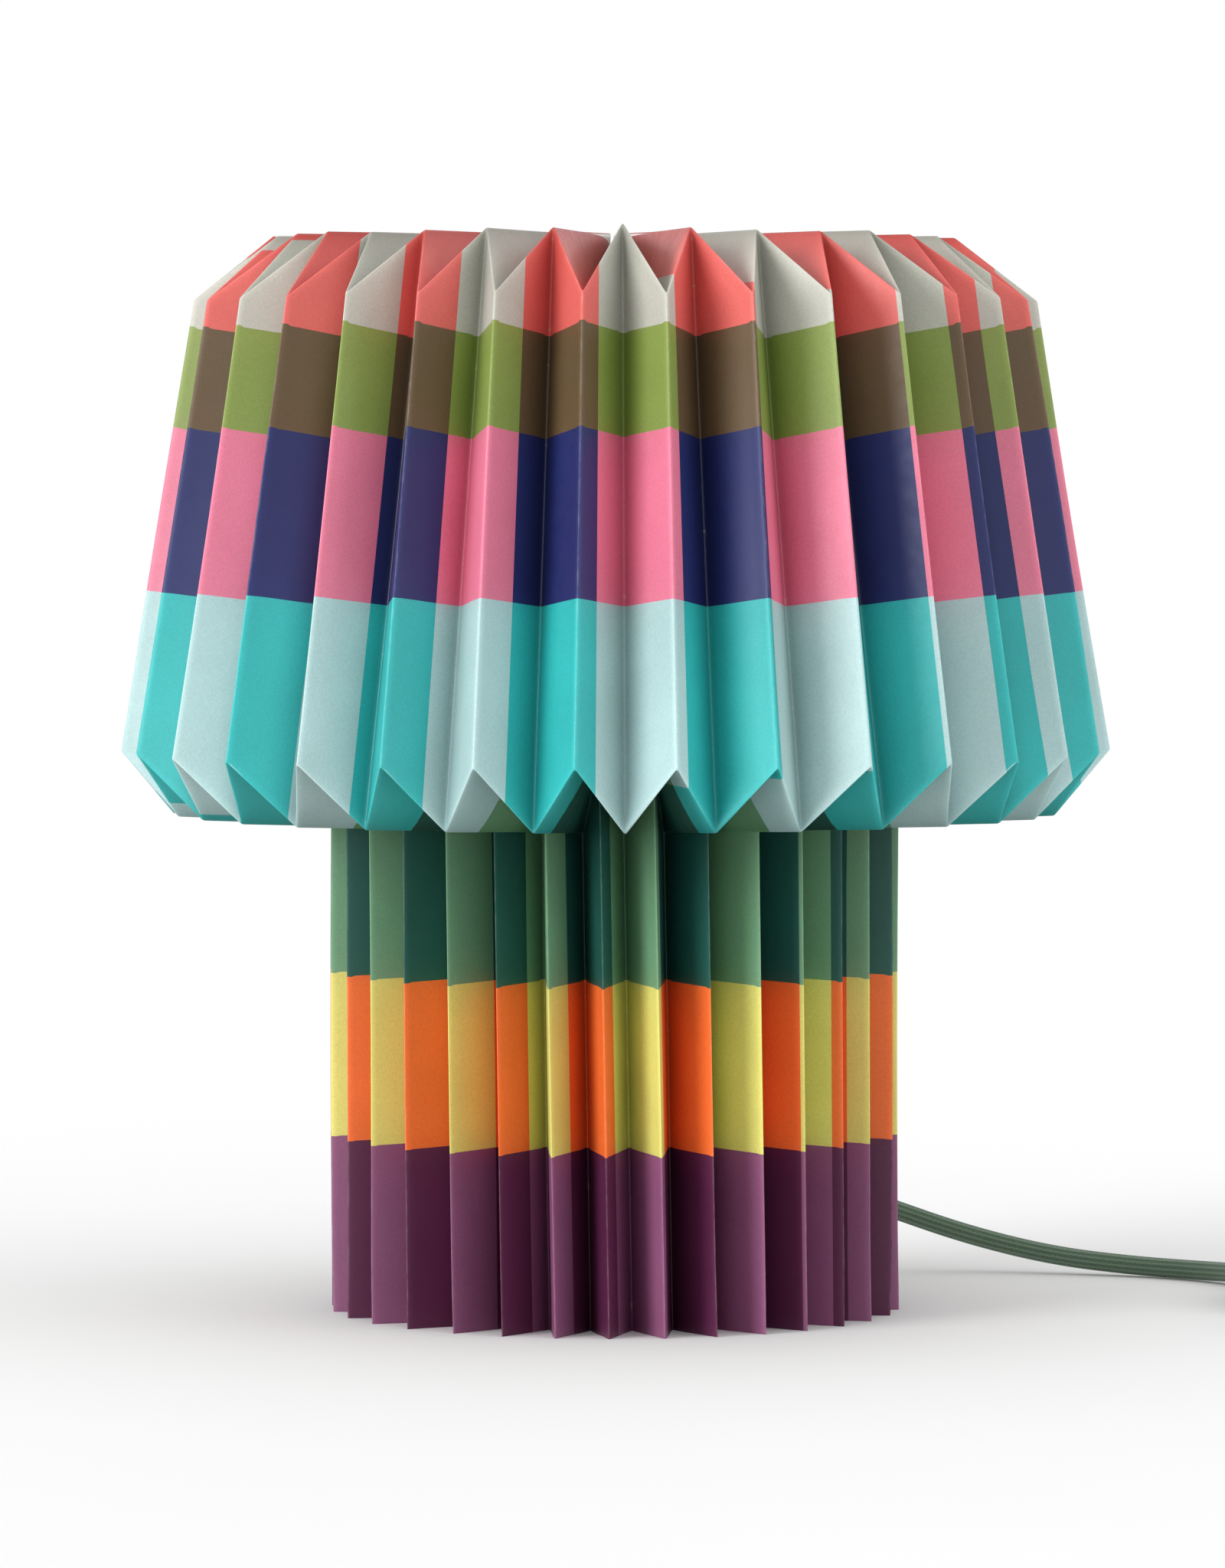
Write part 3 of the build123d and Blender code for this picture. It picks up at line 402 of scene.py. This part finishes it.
MATERIALS = {
    "printed_paper": printed_material(),
    "seam_paper": bare_paper("seam_paper", rgb(232, 229, 220)),
    "pan_enamel": moulded("pan_enamel", rgb(206, 203, 195), 0.38, grain=0.8 * MM, depth=0.05 * MM,
                          shade=0.96),
    "felt": felt_material(),
    "zinc_sheet": metal("zinc_sheet", rgb(176, 180, 184), 0.32, stretch=(1, 25, 1)),
    "cast_iron": moulded("cast_iron", rgb(58, 58, 60), 0.6, grain=1.2 * MM, depth=0.25 * MM, shade=0.6),
    "zinc_hardware": metal("zinc_hardware", rgb(190, 193, 196), 0.26),
    "brass_hardware": metal("brass_hardware", rgb(214, 172, 92), 0.28),
    "black_nylon": moulded("black_nylon", rgb(30, 30, 32), 0.45, depth=0.03 * MM),
    "green_rubber": moulded("green_rubber", rgb(58, 80, 62), 0.62, grain=0.5 * MM, depth=0.04 * MM),
    "lead_sheath": moulded("lead_sheath", rgb(62, 84, 66), 0.7, grain=0.4 * MM, depth=0.08 * MM),
    "white_thermoset": moulded("white_thermoset", rgb(222, 219, 210), 0.34, shade=0.95),
    "ceramic": moulded("ceramic", rgb(226, 219, 204), 0.7, grain=0.4 * MM, depth=0.05 * MM),
    "tin": metal("tin", rgb(186, 186, 184), 0.4, stretch=(1, 1, 1)),
    "black_glass": moulded("black_glass", rgb(14, 14, 18), 0.12, depth=0.004 * MM, Coat_Weight=0.5),
    "nickel_cap": metal("nickel_cap", rgb(206, 203, 196), 0.22),
    "white_plastic": moulded("white_plastic", rgb(236, 235, 230), 0.3, depth=0.01 * MM),
    "opal_diffuser": opal_material(),
    "green_textile": textile_material(),
    "green_plastic": moulded("green_plastic", rgb(60, 84, 65), 0.42, grain=0.5 * MM, depth=0.03 * MM),
    "rocker_plastic": moulded("rocker_plastic", rgb(40, 58, 45), 0.28, depth=0.01 * MM),
    "nickel_pins": metal("nickel_pins", rgb(208, 206, 200), 0.2, stretch=(1, 30, 1)),
    "paper_inside": bare_paper("paper_inside", rgb(232, 231, 226), 0.6),
    "paper_edge": bare_paper("paper_edge", rgb(214, 212, 206)),
}


def dress_cad_nodes():
    """Gives every CAD node the material of its slot."""
    slots = {part["node"]: part["material_slot"] for part in frame["record"]["subparts"]}
    for name, node in frame["nodes"].items():
        node.data.materials.clear()
        node.data.materials.append(MATERIALS[slots[name]])


dress_cad_nodes()
lead.data.materials.append(MATERIALS["green_textile"])

# --- folded sheets ----------------------------------------------------------------------
MOUNTAIN_FOLD = [Vector(p) * MM for p in ((11, 326), (137.5, 329), (161.5, 183), (93.5, 183), (93.5, 0))]
PAPER = 0.4 * MM
NEAR_FOLD = (0.4 * MM, 1.1 * MM, 3.0 * MM)  # rows and columns of points this far from each fold
PLAIN_ROWS, PLAIN_COLUMNS = (8, 9, 3, 10), 5  # further rows on each stretch, and columns on each facet
SHADE, FOOT = 1, 3  # stretch 0 is the top collar, and stretch 2 runs inwards under the shade
COLLAR_JITTER, TURN_JITTER, RADIUS_JITTER, BOW = 0.5 * MM, 0.3, 0.6 * MM, 0.6 * MM
STEADY = 0.5  # share of the radius jitter on the stretches other than SHADE and FOOT
AXIS_FADE, TABLE_FADE = 60 * MM, 20 * MM  # faults of radius fade out this near the axis and the table
LIFT_FADE = 3  # the top collar's faults in height fade out over the lamp's top third
BOW_FADE = 6  # facets bow less over the first and last sixth of a stretch
BEND_SLANT = 0.7  # folds across the sheet run aslant, so a point is nearer to them than along its line
FAR = 1  # metres to a bend, where there is none
COLLAR_DROP = 1.5 * MM
FOOT_TURN, FOOT_CLOSE, FOOT_LEAN = 1.0, 3.0, 2.2  # degrees that the foot's front folds turn or close up


def meet(normals, distances):
    """The plane vector whose products with one or two normals are the given distances."""
    a = normals[0]
    if len(normals) == 1:
        return a * (distances[0] / a.dot(a))
    b = normals[1]
    det = a.x * b.y - a.y * b.x
    x = (distances[0] * b.y - distances[1] * a.y) / det
    y = (distances[1] * a.x - distances[0] * b.x) / det
    return Vector((x, y))


REFINEMENTS = 12


def valley_line(mountain):
    """Valley points of an inside reverse fold, as (radius, height), one for each mountain point."""
    normals = []
    for i in range(len(mountain) - 1):
        along = (mountain[i + 1] - mountain[i]).normalized()
        side = 1 if i % 2 == 0 else -1
        normals.append(Vector((-along.y, along.x)) * side)
    valley = []
    for i, point in enumerate(mountain):
        beside = normals[max(i - 1, 0):i + 1]
        radius = point.x
        for _ in range(REFINEMENTS):
            depth = sqrt(FACET**2 - (radius * sin(radians(HALF_PITCH)))**2)
            inside = point + meet(beside, [depth] * len(beside))
            radius = inside.x / cos(radians(HALF_PITCH))
        valley.append(Vector((radius, inside.y)))
    return valley


FOLDS = (valley_line(MOUNTAIN_FOLD), MOUNTAIN_FOLD)


def lengths_along(fold):
    """Distance along a fold line from its top to each of its points."""
    total = [0.0]
    for start, end in zip(fold, fold[1:]):
        total.append(total[-1] + (end - start).length)
    return total


ALONG = tuple(lengths_along(fold) for fold in FOLDS)


def near_shares(length, plain):
    """Shares of a length for its rows or columns: close together at both ends, even between."""
    near = [d / length for d in NEAR_FOLD]
    middle = [i / (plain + 1) for i in range(1, plain + 1)]
    return [0.0] + near + middle + [1 - s for s in reversed(near)]


def sheet_rows():
    """(stretch, share of the stretch) of each row of points, from the top edge to the table."""
    rows = []
    for stretch, plain in enumerate(PLAIN_ROWS):
        length = ALONG[1][stretch + 1] - ALONG[1][stretch]
        rows += [(stretch, share) for share in near_shares(length, plain)]
    return rows + [(FOOT, 1.0)]


ROWS = sheet_rows()
NOTCH_SHARE = NOTCH_HALF / (MOUNTAIN_FOLD[-1].x * sin(radians(HALF_PITCH)))
COLUMNS = sorted(near_shares(FACET, PLAIN_COLUMNS) + [NOTCH_SHARE, 1 - NOTCH_SHARE])
NOTCH_ROW = next(i for i, row in enumerate(ROWS) if row[0] == FOOT and row[1] > 0.7)  # follows its top


def fold_wobble():
    """Small random faults of every fold: its turn at top and table, radius at shade and foot, height
    at the top collar, and bend."""
    chance = random.Random(11)
    return [[chance.uniform(-1, 1) for _ in range(6)] for _ in range(2 * PLEATS)]


WOBBLE = fold_wobble()


def facet_bows():
    """How far each facet bows, as a slight S and a slight arch."""
    chance = random.Random(5)
    return [[chance.uniform(-1, 1) * BOW for _ in range(2)] for _ in range(2 * PLEATS)]


BOWS = facet_bows()


def uneven_turn(step, stretch, share):
    """Degrees by which a fold stands off the even pitch: the foot's front pleats are pushed together."""
    from_front = (step + PLEATS) % (2 * PLEATS) - PLEATS
    angle = radians(from_front * HALF_PITCH)
    frontness = (1 + cos(angle)) / 2
    in_foot = {FOOT - 1: share, FOOT: 1.0}.get(stretch, 0.0)
    lean = FOOT_LEAN * max(0.0, cos(angle)) * (share if stretch == FOOT else 0.0)
    return in_foot * (FOOT_TURN - FOOT_CLOSE * sin(angle)) * frontness + lean


def collar_drop(step):
    """How much lower than the front one the other ridges of the top collar, all even steps, stand."""
    return COLLAR_DROP if step % 2 == 0 and step != 0 else 0


def fold_point(step, stretch, share):
    """A point of a fold. Even steps are valleys of the shade and the foot, counted from the front."""
    fold = FOLDS[step % 2]
    flat = fold[stretch].lerp(fold[stretch + 1], share)
    top, bottom, shade, foot, height, bend = WOBBLE[step % (2 * PLEATS)]
    down = 1 - flat.y / MOUNTAIN_FOLD[SHADE].y
    turn = (top * (1 - down) + bottom * down) * TURN_JITTER + uneven_turn(step, stretch, share)
    off_axis, off_table = min(1, flat.x / AXIS_FADE), min(1, flat.y / TABLE_FADE)
    near_top = min(1, max(0, 1 - down * LIFT_FADE))
    lift = (COLLAR_JITTER * height - collar_drop(step)) * near_top * off_axis
    upright = stretch in (SHADE, FOOT)
    swell = RADIUS_JITTER * (shade if stretch <= SHADE else foot) * (1 if upright else STEADY)
    curve = RADIUS_JITTER * bend * sin(pi * share) if upright else 0
    radius = flat.x + (swell + curve) * off_table * off_axis
    return polar(radius, FRONT_VALLEY + step * HALF_PITCH + turn, flat.y + lift)


def notch_level(step, share):
    """Share of the foot's length down to which the row NOTCH_ROW goes: it follows the notch's round top."""
    straight = (NOTCH_TOP - NOTCH_HALF) / MOUNTAIN_FOLD[FOOT].y
    valley = 2 * NOTCH_VALLEY
    from_valley = share if step == valley else 1 - share if step == valley - 1 else 1
    x = min(1, from_valley / NOTCH_SHARE)
    return 1 - straight - sqrt(1 - x * x) * NOTCH_HALF / MOUNTAIN_FOLD[FOOT].y


def row_share(step, share, stretch, q):
    """Share of its stretch at which a point of a row lies: rows of the foot bend to the notch's top."""
    if stretch != FOOT:
        return q
    level, plain = notch_level(step, share), ROWS[NOTCH_ROW][1]
    return q / plain * level if q <= plain else 1 - (1 - q) / (1 - plain) * (1 - level)


def facet_point(step, share, stretch, q):
    """A point at a share of the way from one fold to the next, with its facet's bow."""
    left, right = fold_point(step, stretch, q), fold_point(step + 1, stretch, q)
    point = left.lerp(right, share)
    outward = Vector((point.x, point.y, 0)).normalized()
    ess, arch = BOWS[step % (2 * PLEATS)]
    wave = ess * sin(2 * pi * share) + arch * sin(pi * share)
    return point + outward * wave * min(1, BOW_FADE * q, BOW_FADE * (1 - q) + (stretch == FOOT))


def flat_place(step, share, stretch, q):
    """Place on the flat sheet: facets from the front valley, and metres from the top edge."""
    along = []
    for fold in (step % 2, 1 - step % 2):
        start, end = ALONG[fold][stretch:stretch + 2]
        along.append(start + (end - start) * q)
    return step + share, along[0] * (1 - share) + along[1] * share


def bend_distance(stretch, q):
    """About how far a point lies from the nearest fold across the sheet."""
    length = (ALONG[1][stretch + 1] - ALONG[1][stretch]) * BEND_SLANT
    to_start = length * q if stretch > 0 else FAR
    to_end = length * (1 - q) if stretch < FOOT else FAR
    return min(to_start, to_end)


def sheet_grid(first, last):
    """Points across the sheet, from fold step first to last, and their flat places and bend distances."""
    points, flats, bends = [], [], []
    for step in range(first, last):
        shares = COLUMNS + ([1.0] if step == last - 1 else [])
        for share in shares:
            line = [(stretch, row_share(step, share, stretch, q)) for stretch, q in ROWS]
            points.append([facet_point(step, share, stretch, q) for stretch, q in line])
            flats.append([flat_place(step, share, stretch, q) for stretch, q in line])
            bends.append([bend_distance(stretch, q) for stretch, q in line])
    return points, flats, bends


EASINGS = 3


def round_folds(grid):
    """Eases the sharp folds of a grid of points, as stiff paper folds."""
    grid = np.array(grid, float)
    across = len(COLUMNS)
    for _ in range(EASINGS):
        eased = grid.copy()
        for c in range(across, len(grid) - 1, across):
            for near in range(c - 2, c + 3):
                eased[near] = 0.5 * grid[near] + 0.25 * (grid[near - 1] + grid[near + 1])
        grid = eased
        eased = grid.copy()
        for r in [i for i, row in enumerate(ROWS) if row[1] == 0 and i > 0]:
            for near in (r - 1, r, r + 1):
                eased[:, near] = 0.5 * grid[:, near] + 0.25 * (grid[:, near - 1] + grid[:, near + 1])
        grid = eased
    return grid


def in_notch(middle, row):
    """Whether a patch of a grid is cut out for the lead: its middle is in facets from the front valley."""
    return row >= NOTCH_ROW and abs(middle - 2 * NOTCH_VALLEY) < NOTCH_SHARE


def mesh_object(name, vertices, faces):
    mesh = bpy.data.meshes.new(name)
    mesh.from_pydata([tuple(v) for v in vertices], [], faces)
    mesh.polygons.foreach_set("use_smooth", [True] * len(faces))
    mesh.update()
    made = bpy.data.objects.new(name, mesh)
    scene.collection.objects.link(made)
    return made


def half_sheet(name, node, first, last):
    """Half of the lamp's folded sheet, printed outside and white inside."""
    points, flats, bends = sheet_grid(first, last)
    grid = round_folds(points)
    rows = len(ROWS)
    faces = []
    for c in range(len(grid) - 1):
        middle = (flats[c][0][0] + flats[c + 1][0][0]) / 2
        for r in range(rows - 1):
            if not in_notch(middle, r):
                a = c * rows + r
                faces.append((a, a + 1, a + rows + 1, a + rows))
    sheet = mesh_object(name, grid.reshape(-1, 3), faces)
    mesh = sheet.data
    flat = [place for line in flats for place in line]
    layer = mesh.uv_layers.new(name="sheet")
    for loop in mesh.loops:
        layer.data[loop.index].uv = flat[loop.vertex_index]
    to_bend = mesh.attributes.new("to_bend", "FLOAT", "POINT")
    to_bend.data.foreach_set("value", [d for line in bends for d in line])
    for slot in ("printed_paper", "paper_inside", "paper_edge"):
        mesh.materials.append(MATERIALS[slot])
    solid = sheet.modifiers.new("thickness", "SOLIDIFY")
    solid.thickness = PAPER
    solid.offset = -1
    solid.use_rim = True
    solid.material_offset = 1
    solid.material_offset_rim = 2
    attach(sheet, "sleeve")
    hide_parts(node)


half_sheet("printed_sheet_front", "paper_front", -PLEATS // 2, PLEATS // 2)
half_sheet("printed_sheet_rear", "paper_rear", PLEATS // 2, 3 * PLEATS // 2)

# --- seam tapes ----------------------------------------------------------------------------
TAPE_SHARE, TAPE_THICK, TAPE_GLUE, TAPE_TRIM = 0.34, 0.25 * MM, 0.06 * MM, 6 * MM


def tape_rows(stretch):
    """Rows of the sheet that a tape covers on one stretch."""
    length = ALONG[1][stretch + 1] - ALONG[1][stretch]
    trim = TAPE_TRIM / length
    return [i for i, row in enumerate(ROWS[:-1]) if row[0] == stretch and trim <= row[1] <= 1 - trim]


def seam_tape(name, node, step):
    """Paper tape glued inside the joint of the two sheets, over the shade and over the foot."""
    points, flats, _ = sheet_grid(step - 1, step + 1)
    grid = round_folds(points)
    along, across = np.gradient(grid, axis=1), np.gradient(grid, axis=0)
    outward = np.cross(across, along)
    outward /= np.linalg.norm(outward, axis=2, keepdims=True)
    outward *= np.sign((outward[:, :, :2] * grid[:, :, :2]).sum(axis=2))[:, :, None]
    grid = grid - outward * (PAPER + TAPE_GLUE)
    columns = [c for c, line in enumerate(flats) if abs(line[0][0] - step) <= TAPE_SHARE]
    vertices, faces = [], []
    for stretch in (SHADE, FOOT):
        rows = tape_rows(stretch)
        base = len(vertices)
        vertices += [grid[c, r] for c in columns for r in rows]
        for c in range(len(columns) - 1):
            for r in range(len(rows) - 1):
                a = base + c * len(rows) + r
                faces.append((a, a + 1, a + len(rows) + 1, a + len(rows)))
    tape = mesh_object(name, vertices, faces)
    tape.data.materials.append(MATERIALS["seam_paper"])
    solid = tape.modifiers.new("thickness", "SOLIDIFY")
    solid.thickness = TAPE_THICK
    solid.offset = -1
    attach(tape, "sleeve")
    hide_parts(node)


seam_tape("seam_tape_right", "seam_strip_right", PLEATS // 2)
seam_tape("seam_tape_left", "seam_strip_left", -PLEATS // 2)

# --- pieces on the lead ----------------------------------------------------------------------
BOOT_R, BOOT_TIP_R, BOOT_BORE_R, BOOT_WALL = 6.4 * MM, 4.5 * MM, 3.33 * MM, 0.2 * MM
BOOT_GROOVES, GROOVE_DEEP, BOOT_PLAIN = 6, 1.0 * MM, 7 * MM
BOOT_RIBBED = BOOT_TIP - GLAND_OUT - 1.2 * BOOT_PLAIN  # leaves a little plain at the tip too
BOOT_RINGS, BOOT_END_ROUND = 96, 0.7 * MM
NECK_LONG, NECK_R, NECK_TIP_R, NECK_RIBS = 12 * MM, 5.6 * MM, 4.0 * MM, 4
NECK_RIB_DEEP, GROOVE_POWER = 0.5 * MM, 0.6
PLUG_LONG, PLUG_HALF_W, PLUG_HALF_T = 36 * MM, 17.5 * MM, 6.8 * MM
PLUG_SWELLS, PLUG_WAIST, PLUG_WAIST_AT = 0.55, 1.1 * MM, 0.45  # the first and last in shares of its length
PLUG_ROUND, PLUG_SQUARER = 2, 2.6  # powers of its superellipse
PLUG_EDGE = 1.0 * MM
RINGS_ROUND = 48


def rings_object(name, rings, closed=False):
    """Mesh through rings of points, with its two ends capped or joined to each other."""
    count = len(rings[0])
    vertices = [point for ring in rings for point in ring]
    faces = []
    for i in range(len(rings) if closed else len(rings) - 1):
        a, b = i * count, (i + 1) % len(rings) * count
        faces += [(a + k, a + (k + 1) % count, b + (k + 1) % count, b + k) for k in range(count)]
    if not closed:
        faces.append(tuple(reversed(range(count))))
        faces.append(tuple(range(len(vertices) - count, len(vertices))))
    return mesh_object(name, vertices, faces)


def make_boot():
    """Ribbed rubber boot, tapering along the lead as it leaves the gland."""
    heading, up = polar(1, EXIT_DEG, 0), Vector((0, 0, 1))
    side = heading.cross(up)
    outline = []
    for i in range(BOOT_RINGS + 1):
        share = i / BOOT_RINGS
        along = GLAND_OUT + (BOOT_TIP - GLAND_OUT) * share
        ribs_from = (along - GLAND_OUT - BOOT_PLAIN) / BOOT_RIBBED
        groove = max(0, -cos(2 * pi * BOOT_GROOVES * ribs_from))**GROOVE_POWER if 0 < ribs_from < 1 else 0
        groove *= GROOVE_DEEP * (1 - 0.35 * share)  # shallower towards the tip
        end_round = BOOT_END_ROUND * (max(0, 1 - i / 3)**2 + max(0, 1 - (BOOT_RINGS - i) / 3)**2)
        radius = BOOT_R + (BOOT_TIP_R - BOOT_R) * share - groove - end_round
        outline.append((along, max(radius, BOOT_BORE_R + BOOT_WALL)))
    outline += [(BOOT_TIP, BOOT_BORE_R), (GLAND_OUT, BOOT_BORE_R)]
    rings = []
    for along, radius in outline:
        turns = [2 * pi * k / RINGS_ROUND for k in range(RINGS_ROUND)]
        rings.append([heading * along + Vector((0, 0, EXIT_Z)) + (side * cos(t) + up * sin(t)) * radius
                      for t in turns])
    boot = rings_object("strain_relief_boot", rings, closed=True)
    boot.data.materials.append(MATERIALS["green_rubber"])
    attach(boot, "stand")
    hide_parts("strain_relief")


def plug_section(along):
    """Half width, half thickness and squareness of the plug at a distance from its back."""
    if along < NECK_LONG:
        share = along / NECK_LONG
        rib = NECK_RIB_DEEP * max(0, -cos(2 * pi * NECK_RIBS * share))**GROOVE_POWER
        radius = NECK_TIP_R + (NECK_R - NECK_TIP_R) * share - rib
        return radius, radius, PLUG_ROUND
    share = (along - NECK_LONG) / PLUG_LONG
    swell = sin(pi / 2 * min(1, share / PLUG_SWELLS))**1.3
    waist = PLUG_WAIST * sin(pi * min(1, max(0, (share - PLUG_WAIST_AT) / 0.5)))
    half_w = NECK_R + (PLUG_HALF_W - NECK_R) * swell - waist
    half_t = NECK_R + (PLUG_HALF_T - NECK_R) * swell
    return half_w, half_t, PLUG_ROUND + PLUG_SQUARER * swell


def make_plug():
    """Moulded flat two-pin plug with a ribbed neck and a slight waist to grip."""
    total = NECK_LONG + PLUG_LONG
    places = [NECK_LONG * i / 48 for i in range(48)] + [NECK_LONG + PLUG_LONG * i / 40 for i in range(39)]
    places += [total - d * MM for d in (0.7, 0.3, 0.08, 0)]
    rings = []
    for along in places:
        half_w, half_t, square = plug_section(along)
        from_end = min(along, total - along)
        pull = PLUG_EDGE * (1 - sqrt(1 - (1 - min(1, from_end / PLUG_EDGE))**2))
        ring = []
        for k in range(2 * RINGS_ROUND):
            c, s = cos(pi * k / RINGS_ROUND), sin(pi * k / RINGS_ROUND)
            x = abs(c)**(2 / square) * (1 if c >= 0 else -1) * (half_w - pull)
            z = abs(s)**(2 / square) * (1 if s >= 0 else -1) * (half_t - pull)
            ring.append(PLUG_BACK + Vector((x, along, z)))
        rings.append(ring)
    plug = rings_object("plug_moulding", rings)
    plug.data.materials.append(MATERIALS["green_plastic"])
    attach(plug, "stand")
    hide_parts("plug_body")
    return plug


make_boot()
on_the_lead = [make_plug()]
on_the_lead += [frame["nodes"][name] for name in
                ("plug_pins", "switch_base", "switch_cover", "switch_screws", "switch_rocker")]

# --- floor and light ------------------------------------------------------------------------
FLOOR_HALF = 12


def make_floor():
    signs = ((-1, -1), (1, -1), (1, 1), (-1, 1))
    corners = [(x * FLOOR_HALF, y * FLOOR_HALF, 0) for x, y in signs]
    floor_plane = mesh_object("floor", corners, [(0, 1, 2, 3)])
    nodes = Nodes("floor", roughness=0.9, Specular_IOR_Level=0.1)
    tone = nodes.ramp(nodes.noise(0.3), [(0.3, rgb(233, 233, 233)), (0.7, rgb(236, 236, 236))])
    floor_plane.data.materials.append(nodes.finish(tone))


def soft_sun(name, azimuth, elevation, softness, strength):
    """Broad even light from a direction: azimuth 0 is -Y, and +90 is +X."""
    data = bpy.data.lights.new(name, "SUN")
    data.energy = strength
    data.angle = radians(softness)
    light = bpy.data.objects.new(name, data)
    flat = cos(radians(elevation))
    towards = Vector((sin(radians(azimuth)) * flat, -cos(radians(azimuth)) * flat, sin(radians(elevation))))
    light.rotation_euler = towards.to_track_quat("Z", "Y").to_euler()
    light.location = towards * 3
    scene.collection.objects.link(light)


def make_light():
    world = bpy.data.worlds.new("studio")
    world.use_nodes = True
    background = world.node_tree.nodes["Background"]
    background.inputs[0].default_value = (1, 1, 1, 1)
    background.inputs[1].default_value = 1.0
    scene.world = world
    scene.view_settings.view_transform = "Standard"
    soft_sun("key_left", -55, 14, 30, 2.2)
    soft_sun("fill_right", 68, 12, 50, 0.7)


make_floor()
make_light()
